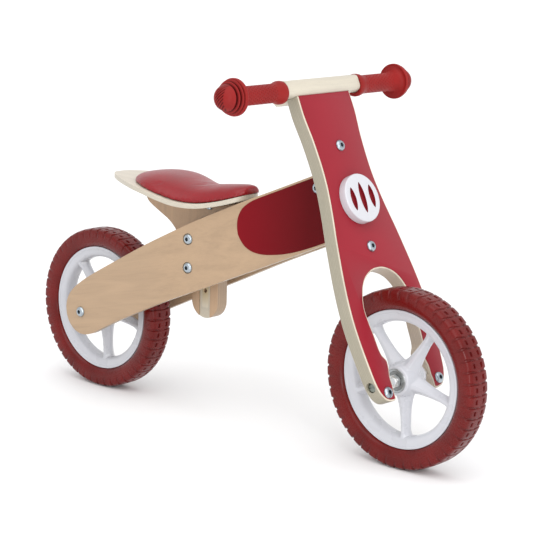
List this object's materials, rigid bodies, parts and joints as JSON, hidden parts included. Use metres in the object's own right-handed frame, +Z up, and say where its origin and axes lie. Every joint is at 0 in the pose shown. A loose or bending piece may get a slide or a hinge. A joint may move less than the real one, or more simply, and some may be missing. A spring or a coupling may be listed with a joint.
{
  "type": "balance bike",
  "caption": "Wooden balance bike for a small child: bent plywood beams, one-piece fork board with handlebar, padded seat on a bolted post, and foam-tyred spoked wheels.",
  "frame": {"origin": "on the ground plane, midway between the two wheel axles, in the plane of the wheels", "axes": "+X forward, along the direction of travel; +Y towards the rider's left; +Z up"},
  "size_m": [0.84, 0.402, 0.5294],
  "materials": {
    "beech_ply": "clear satin lacquer on beech plywood",
    "pale_ply": "clear satin lacquer on birch and maple",
    "red_paint": "satin red paint film",
    "dark_red_paint": "satin dark red paint film",
    "leatherette": "smooth glossy red leatherette",
    "grip_rubber": "dimpled red rubber",
    "tyre_foam": "moulded dark red foam tyre",
    "white_plastic": "glossy white moulded nylon",
    "zinc": "bright zinc plate",
    "bearing_steel": "bright steel with dark seal",
    "dark_steel": "blackened steel",
    "nylon": "natural nylon"
  },
  "bodies": {
    "frame": {"beam_right": "beech_ply", "beam_left": "beech_ply", "side_panel_right": "dark_red_paint", "side_panel_left": "dark_red_paint", "head_block": "beech_ply", "head_bolt_upper": "zinc", "head_bolt_lower": "zinc", "seat_base": "pale_ply", "seat_cushion": "leatherette", "seat_screw_front_right": "zinc", "seat_screw_front_left": "zinc", "seat_screw_rear_right": "zinc", "seat_screw_rear_left": "zinc", "seat_post": "beech_ply", "post_spacer_right": "pale_ply", "post_spacer_left": "pale_ply", "post_bolt_lower": "zinc", "post_bolt_upper": "zinc", "rear_axle": "zinc", "rear_spacer_right": "zinc", "rear_spacer_left": "zinc"},
    "fork": {"fork_board": "pale_ply", "fork_face": "red_paint", "fork_bolt_upper": "zinc", "fork_bolt_lower": "zinc", "leg_bolt_right": "zinc", "leg_bolt_left": "zinc", "lamp_disc": "white_plastic", "handlebar": "pale_ply", "handlebar_block": "pale_ply", "bar_screw_right": "zinc", "bar_screw_left": "zinc", "grip_right": "grip_rubber", "grip_left": "grip_rubber", "steering_bracket_upper": "zinc", "steering_bracket_lower": "zinc", "steering_pin": "zinc", "thrust_washer_upper": "nylon", "thrust_washer_lower": "nylon", "front_axle": "zinc", "axle_cap_right": "dark_steel", "axle_cap_left": "dark_steel", "front_spacer_right": "zinc", "front_spacer_left": "zinc"},
    "front_wheel": {"front_tyre": "tyre_foam", "front_rim": "white_plastic", "front_bearing_right": "bearing_steel", "front_bearing_left": "bearing_steel"},
    "rear_wheel": {"rear_tyre": "tyre_foam", "rear_rim": "white_plastic", "rear_bearing_right": "bearing_steel", "rear_bearing_left": "bearing_steel"}
  },
  "joints": [
    {"name": "steering", "type": "hinge", "parent": "frame", "child": "fork", "pos_m": [0.10872, 0, 0.48571], "axis": [-0.4156, 0, 0.9095], "range_deg": [-35, 35]},
    {"name": "front_wheel_spin", "type": "hinge", "parent": "fork", "child": "front_wheel", "pos_m": [0.295, 0, 0.125], "axis": [0, 1, 0], "continuous": true},
    {"name": "rear_wheel_spin", "type": "hinge", "parent": "frame", "child": "rear_wheel", "pos_m": [-0.295, 0, 0.125], "axis": [0, 1, 0], "continuous": true}
  ]
}
